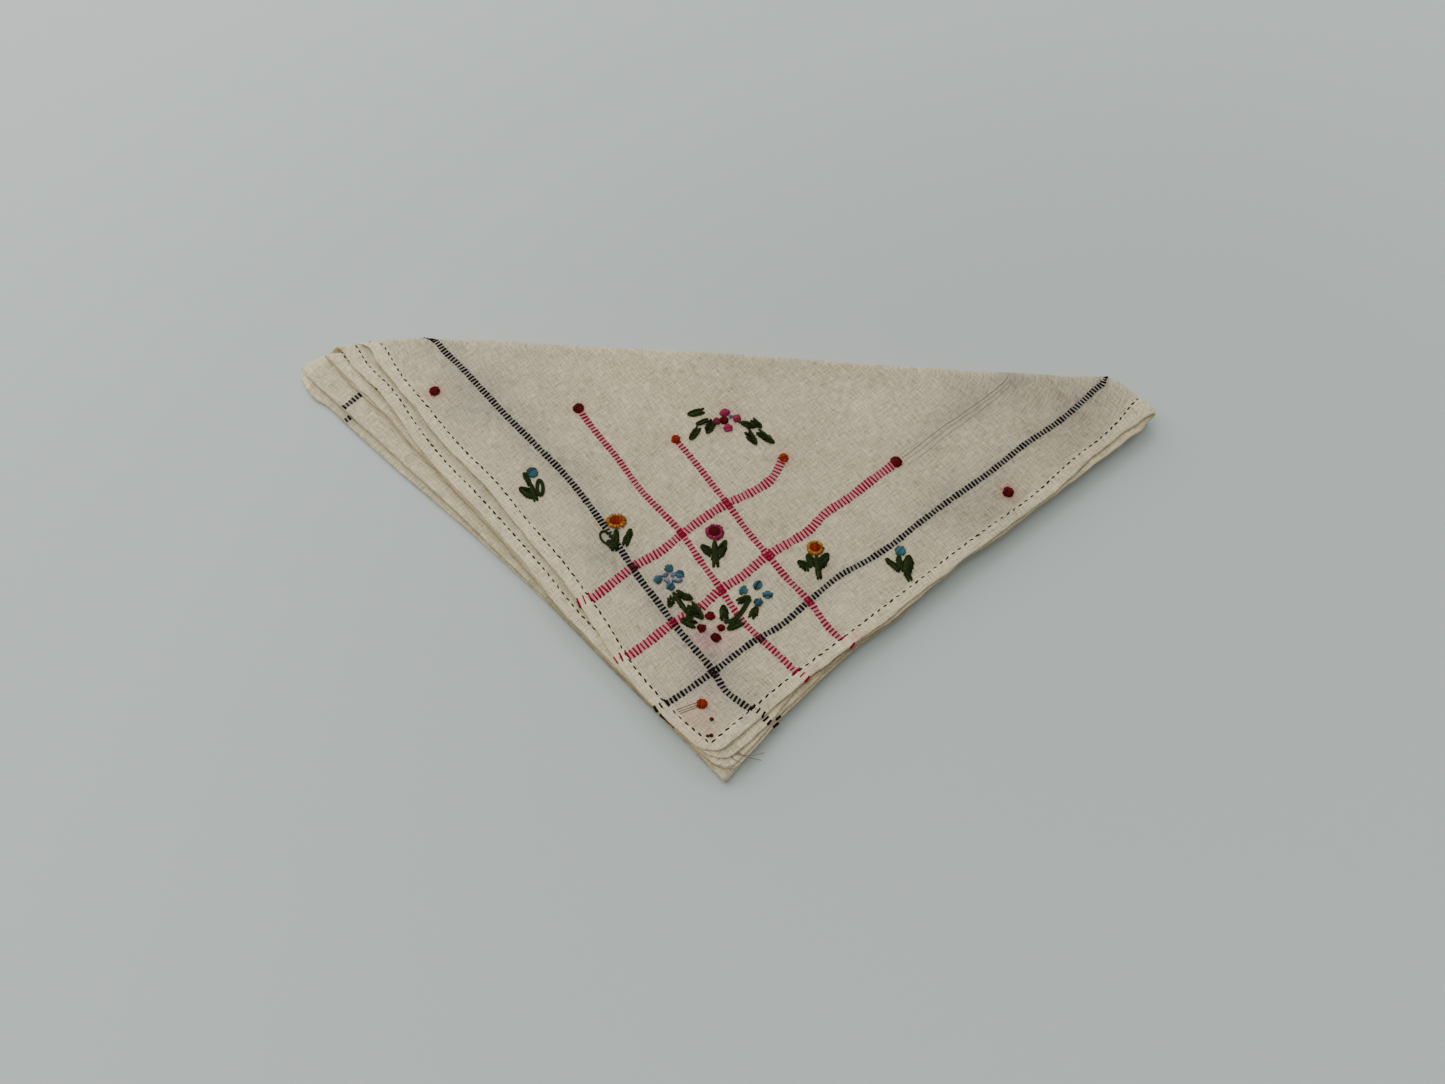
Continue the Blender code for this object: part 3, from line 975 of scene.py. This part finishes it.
def strand(path, highs, radii, ink, shade=1.0):
    # a thread through places on the flat cloth, at heights above its face
    path = np.array(path, float)
    highs = np.broadcast_to(highs, (len(path),))
    radii = np.broadcast_to(radii, (len(path),))
    run = np.gradient(path, axis=0)
    run /= np.maximum(np.hypot(run[:, 0], run[:, 1]), 1e-9)[:, None]
    side = np.column_stack([-run[:, 1], run[:, 0]])
    sides = flossSizes["sides"]
    ring = np.arange(sides) * 2 * np.pi / sides
    first = sum(len(p) for p in flossPoints)
    rows = []
    for spot, out, high, radius in zip(path, side, highs, radii):
        around = spot + np.outer(np.cos(ring) * radius, out)
        raised = foldSizes["thickness"] / 2 + high + np.sin(ring) * radius
        rows.append(np.column_stack([around, -raised]))
    rows = np.concatenate(rows)
    flossPoints.append(rows)
    for k in range(len(path) - 1):
        for j in range(sides):
            a, b = first + k * sides + j, first + k * sides + (j + 1) % sides
            flossFaces.append((a, b, b + sides, a + sides))
    last = first + (len(path) - 1) * sides
    flossFaces.append(tuple(first + j for j in reversed(range(sides))))
    flossFaces.append(tuple(last + j for j in range(sides)))
    flossInksAndShade.extend([tuple(c * shade for c in inks[ink])] * len(rows))


def onFlat(at, spots):
    tall = at[2] if len(at) > 2 else 1.0
    lean = at[3] if len(at) > 3 else 0.0
    spots = np.array(spots, float)
    spots = np.column_stack([spots[:, 0] - lean * spots[:, 1], spots[:, 1] * tall])
    return np.array(at[:2]) * mm + (spots * mm) @ motifTurn


def chance(place, seed):
    # an uneven number about 0, always the same one for a place
    return 1.6 * noise.noise(Vector((place[0] * 1.7, place[1] * 1.3, seed * 3.1 + 0.4)))


def leaf(at, start, end, width, ink="leaf"):
    # slanting threads on both sides of a middle line
    start, end = np.array(start, float), np.array(end, float)
    run = end - start
    reach = np.hypot(*run)
    run /= reach
    side = np.array((-run[1], run[0]))
    count = max(4, round(reach / flossSizes["leafStep"]))
    for k in range(count):
        t = (k + 0.5) / count
        wide = flossSizes["leafWide"] * width / 2 * math.sin(math.pi * (0.10 + 0.84 * t)) ** 0.6
        spine = start + run * reach * min(1, t + 0.2)
        for sign in (1, -1):
            share = 1 + 0.25 * chance(start + k, sign)
            edge = start + run * reach * max(0, t - 0.12) + side * sign * wide * share
            middle = (spine + edge) / 2 + side * sign * 0.08
            # painted light and shade: threads on one side of the middle line are painted lighter and
            # those on the other darker; the rest is random tone
            shade = (1 + 0.22 * sign) * (1 + 0.75 * chance(edge, 5))
            highs = np.array(flossSizes["leafHighs"]) * mm
            strand(onFlat(at, [edge, middle, spine]), highs, flossSizes["thread"], ink, shade)


def leaves(at, rows):
    for start, end, width in rows:
        leaf(at, start, end, width)


def loop(at, start, end, width, ink="leaf"):
    # one open looped stitch
    start, end = np.array(start, float), np.array(end, float)
    run = end - start
    reach = np.hypot(*run)
    run /= reach
    side = np.array((-run[1], run[0]))
    turn = np.linspace(0, 2 * math.pi, 15)
    spots = [start + run * reach * (1 - math.cos(t)) / 2 + side * width / 2 * math.sin(t) for t in turn]
    strand(onFlat(at, spots), flossSizes["loopHigh"] * mm, 1.1 * flossSizes["thread"], ink)


def stem(at, spots, ink="stem"):
    path = smoothPath(onFlat(at, spots) / mm, threadSizes["pathStep"])
    strand(path, flossSizes["stemHigh"] * mm, 1.15 * flossSizes["thread"], ink)


def pad(at, spot, wide, tall, ink, turn=0.0, count=5):
    # threads side by side, arched over a small round patch
    way = np.array((math.cos(turn), math.sin(turn)))
    side = np.array((-way[1], way[0]))
    arch = flossSizes["padHigh"] * np.array(flossSizes["padArch"])
    for k in range(count):
        off = (2 * k + 1) / count - 1
        reach = wide / 2 * math.sqrt(1 - 0.95 * off * off) * (1 + 0.22 * chance(spot, k))
        middle = np.array(spot) + side * off * tall * 0.42
        line = [middle + way * reach * f for f in (-1, -0.55, 0, 0.55, 1)]
        highs = arch * (1 - 0.45 * off * off) * mm
        shade = 1 + 0.7 * chance(middle + at[0], k)
        strand(onFlat(at, line), highs, 0.62 * tall / count * mm, ink, shade)


def bloom(at, wide, tall, outer, inner):
    # an oval head: a rim of short threads set like spokes, and an upright pad in it
    for k in range(flossSizes["spokes"]):
        turn = 2 * math.pi * k / flossSizes["spokes"] + 0.1 * chance(at, k)
        way = np.array((math.cos(turn) * wide, math.sin(turn) * tall)) / 2
        far = 1 + 0.10 * chance(way, k)
        line = onFlat(at, [way * far, way * 0.84, way * 0.60])
        shade = 1 + 0.6 * chance(way * 2, k)
        highs = np.array(flossSizes["bloomHighs"]) * mm
        strand(line, highs, 1.1 * flossSizes["thread"], outer, shade)
    pad(at, (0, 0), 0.72 * tall, 0.74 * wide, inner, math.pi / 2, 8)


# the dots: place, size, ink and turn
padTable = (
    ((34.2, 133.9), 2.5, "darkRed", 0.5),
    ((133.6, 50.0), 2.5, "darkRed", 1.2),
    ((59.4, 111.6), 2.5, "darkRed", 0.8),
    ((113.9, 64.6), 2.6, "darkRed", 2.2),
    ((79.9, 100.0), 2.1, "orange", 1.4),
    ((98.7, 84.1), 2.1, "orange", 0.3),
    ((130.0, 132.2), 2.3, "orange", 1.4),
    ((133.8, 133.3), 0.9, "rust", 0.2),
    ((136.3, 136.0), 0.9, "rust", 2.4),
    ((135.9, 136.6), 0.7, "rust", 1.0),
)
for at, size, ink, turn in padTable:
    pad(at, (0, 0), size, size, ink, turn)
# loose threads past the corner's hem, the last threads in the band that was never wrapped, and a
# few that run from a dot to the hem
frayTable = (
    ((139.3, 133.8), (141.6, 134.8), (144.0, 133.0), (145.8, 129.9)),
    ((139.5, 134.6), (141.9, 135.9), (144.4, 135.0)),
    ((139.2, 134.2), (142.6, 134.1), (146.6, 131.4)),
)
drawnTable = (
    {"ink": "fuzz", "shift": 0.0}, {"ink": "faint", "shift": 0.9}, {"ink": "faint", "shift": 2.0},
)
dotThreads = {"shifts": (-0.5, 0.1, 0.6), "path": ((129.6, 132.6), (128.8, 134.6), (127.9, 136.9))}
for path in frayTable:
    strand(smoothPath(path, threadSizes["pathStep"]), -1.1 * mm, flossSizes["hair"], "fuzz")
for row in drawnTable:
    path = [(x + row["shift"] * min(1, y / 50), y) for x, y in drawnLine[:-1]]
    strand(smoothPath(path, threadSizes["coarseStep"]), 0.0, flossSizes["hair"], row["ink"])
for shift in dotThreads["shifts"]:
    path = np.array([(x + shift, y) for x, y in dotThreads["path"]]) * mm
    strand(path, 0.02 * mm, flossSizes["hair"], "rust")

# the posy above: four petals about a dark middle, leaves to both sides
posy = (83.5, 88.6, 1.02)
for spot, wide in (((0.15, 1.9), 2.3), ((-1.7, -0.2), 1.8), ((2.9, 0.4), 2.1), ((0.8, -1.9), 2.3)):
    pad(posy, spot, wide, 1.9, "rose", 0.2)
pad(posy, (0, 0), 2.0, 2.1, "crimson", 1.5)
pad(posy, (1.5, 0.9), 1.0, 0.8, "lilac", 0.6, 3)
stem(posy, ((3.2, -0.3), (4.6, -1.2), (5.6, -2.2)))
leaves(posy, (
    ((-4.5, 2.6), (-8.3, 1.7), 1.5), ((-3.6, 0.3), (-6.4, -0.8), 1.0),
    ((-5.7, -1.5), (-7.9, -4.5), 1.6), ((-2.5, 0.2), (-4.0, -3.1), 1.9),
    ((3.9, -0.7), (7.0, -1.7), 1.3), ((6.3, 0.2), (8.3, -1.8), 1.4),
    ((5.0, -2.6), (7.0, -5.8), 1.8), ((7.4, -2.6), (11.0, -5.4), 1.5),
))

# the long spray below: blue pads, leaves, red pads, leaves, blue pads
spray = (118.0, 119.35, 0.88, 0.085)
redSpots = (((-0.2, 1.9), 2.1), ((-2.2, -1.0), 2.1), ((2.0, -1.0), 1.8), ((0.7, -3.4), 2.3))
blueSpots = (
    (-9.15, 13.2), (-11.7, 10.6), (-6.8, 11.8), (-8.9, 8.8), (7.1, 8.1), (10.2, 9.4),
    (12.2, 7.0), (10.1, 5.2),
)
lilacSpots = (
    ((-10.0, 11.6), 0.5), ((-9.7, 10.2), 2.4), ((-8.3, 11.7), 1.2), ((-8.0, 10.3), 2.8),
    ((-6.9, 10.2), 0.4),
)
for spot, size in redSpots:
    pad(spray, spot, size, size, "crimson", spot[0])
for spot in blueSpots:
    pad(spray, spot, 2.1, 2.0, "blue", 0.3 + spot[0])
for spot, turn in lilacSpots:
    pad(spray, spot, 1.5, 0.9, "lilac", turn, 3)
stem(spray, ((2.6, 0.6), (4.3, 0.9), (6.0, 2.6), (8.2, 6.3)))
stem(spray, ((2.8, 0.2), (4.7, 0.5), (6.4, 2.2), (8.6, 5.9)))
leaves(spray, (
    ((-7.9, 7.4), (-4.05, 5.8), 1.5), ((-8.6, 6.6), (-9.2, 4.0), 1.5),
    ((-5.3, 2.8), (-8.4, 7.4), 0.7), ((-4.7, 4.8), (-1.8, 1.2), 2.0),
    ((-3.2, -0.3), (-6.6, 1.1), 1.9), ((-5.2, 3.4), (-4.2, 0.4), 1.2),
    ((2.8, 0.7), (2.7, 4.4), 1.8), ((5.6, 5.3), (8.5, 6.5), 1.4),
    ((8.3, 1.2), (9.8, 4.0), 1.6), ((6.7, 0.5), (3.3, -1.5), 1.6),
))

# small flowers: a head, or for the two buds a blue pad, and the leaves below it
leftFlower = (86.6, 122.6, 0.96)
bloom(leftFlower, 4.8, 3.6, "amber", "ember")
loop(leftFlower, (-1.2, -5.4), (-3.3, -2.5), 2.2)
leaves(leftFlower, (
    ((-0.5, -6.8), (-1.9, -4.6), 1.2), ((-0.4, -7.2), (0.0, -2.0), 1.3),
    ((1.8, -6.0), (3.2, -2.0), 1.5),
))
middleFlower = (102.4, 107.4, 0.90)
bloom(middleFlower, 4.4, 4.0, "rose", "crimson")
leaves(middleFlower, (
    ((0.5, -8.6), (0.0, -2.2), 1.4), ((-0.4, -5.6), (-2.9, -3.3), 1.7),
    ((1.0, -6.1), (2.5, -2.1), 1.7),
))
rightFlower = (118.7, 92.3, 0.92)
bloom(rightFlower, 3.9, 3.6, "amber", "ember")
leaves(rightFlower, (
    ((0.9, -7.4), (0.2, -1.8), 0.9), ((-1.0, -5.0), (-3.7, -3.2), 1.7),
    ((-0.3, -4.4), (-1.6, -1.5), 1.7), ((0.2, -4.8), (2.8, -1.3), 2.1),
))
leftBud = (65.4, 129.7)
pad(leftBud, (0, 0), 2.6, 2.9, "blue", 0.6, 6)
loop(leftBud, (1.9, -5.7), (1.5, -1.8), 1.6)
loop(leftBud, (1.8, -5.3), (1.6, -2.2), 1.0)
leaves(leftBud, (
    ((-0.5, -3.2), (-1.9, -0.1), 1.0), ((0.3, -5.8), (-2.9, -3.8), 2.0),
    ((0.9, -6.9), (-0.4, -2.9), 1.0),
))
rightBud = (130.4, 78.0, 0.92)
pad(rightBud, (-0.2, 0), 2.3, 2.6, "blue", 0.9, 6)
leaves(rightBud, (
    ((-0.4, -5.0), (-3.5, -2.1), 1.2), ((-0.4, -5.2), (-0.7, -1.2), 1.3),
    ((1.0, -5.2), (1.6, -1.1), 2.2), ((1.6, -7.4), (0.4, -4.2), 1.2),
))


def makeFloss():
    flat = np.concatenate(flossPoints)
    data = bpy.data.meshes.new("embroidery")
    data.from_pydata(layCloth(flat).tolist(), [], flossFaces)
    mesh = bmesh.new()
    mesh.from_mesh(data)
    bmesh.ops.recalc_face_normals(mesh, faces=mesh.faces[:])
    mesh.to_mesh(data)
    mesh.free()
    data.shade_smooth()
    paint(data, "flossAndShade", np.clip(np.array(flossInksAndShade), 0, 1))
    material, surface, value = plain("flossAndShade", inks["leaf"], 0.75, 0.04)
    # the thread colours, with painted light and shade on the two halves of each leaf
    dyedAndShaded = value.node("ShaderNodeAttribute", {"attribute_name": "flossAndShade"}, {})
    value.tree.links.new(dyedAndShaded.socket, surface.inputs["Base Color"])
    data.materials.append(material)
    piece = addObject("embroidery", data)
    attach(piece, "root")
    return piece


flossAndShade = makeFloss()
print("embroidery", len(flossAndShade.data.polygons))

# Floor, light and camera
def panel(name, reach, at, material):
    # a flat square, that far to each side of its place
    ways = ((-1, -1), (1, -1), (1, 1), (-1, 1))
    spots = [(at[0] + x * reach, at[1] + y * reach, at[2]) for x, y in ways]
    data = bpy.data.meshes.new(name)
    data.from_pydata(spots, [], [(0, 1, 2, 3)])
    data.materials.append(material)
    return addObject(name, data)


floor = panel("floor", 1.5, (0, 0, -0.02 * mm), plain("floorPaper", inks["floor"], 0.8)[0])

lightTable = (
    {"name": "window", "at": (-0.40, 0.64, 0.97), "size": 2.1, "power": 18.4},
    {"name": "room", "at": (0.05, 0.60, 1.4), "size": 1.6, "power": 9.8},
)
for row in lightTable:
    lamp = bpy.data.lights.new(row["name"], "AREA")
    lamp.size = row["size"]
    lamp.energy = row["power"]
    hung = addObject(row["name"], lamp)
    hung.location = row["at"]
    hung.rotation_euler = (-Vector(row["at"])).to_track_quat("-Z", "Y").to_euler()
# a card held above the right side, out of the picture, keeps some of the light off it
card = panel("card", 0.095, (0.05, 0.12, 0.31), plain("cardGrey", inks["card"], 0.9)[0])
roomLight = {"colour": (0.95, 1.0, 1.02, 1), "strength": 0.285}
world = bpy.data.worlds.new("room")
world.use_nodes = True
background = world.node_tree.nodes["Background"]
background.inputs["Color"].default_value = roomLight["colour"]
background.inputs["Strength"].default_value = roomLight["strength"]
bpy.context.scene.world = world
print("lights", len(lightTable))

# the photo is taken to have a focal length of 1085 pixels in a width of 1445
photoView = {
    "focalPixels": 1085,
    "widePixels": 1445,
    "sensor": 36,
    "at": (0, -0.0962148, 0.2156),
    "tilt": math.radians(25),
}
lens = bpy.data.cameras.new("photo")
lens.sensor_width = photoView["sensor"]
lens.lens = photoView["sensor"] * photoView["focalPixels"] / photoView["widePixels"]
lens.clip_start = 0.01
camera = addObject("photo", lens)
camera.location = photoView["at"]
camera.rotation_euler = (photoView["tilt"], 0, 0)
bpy.context.scene.camera = camera
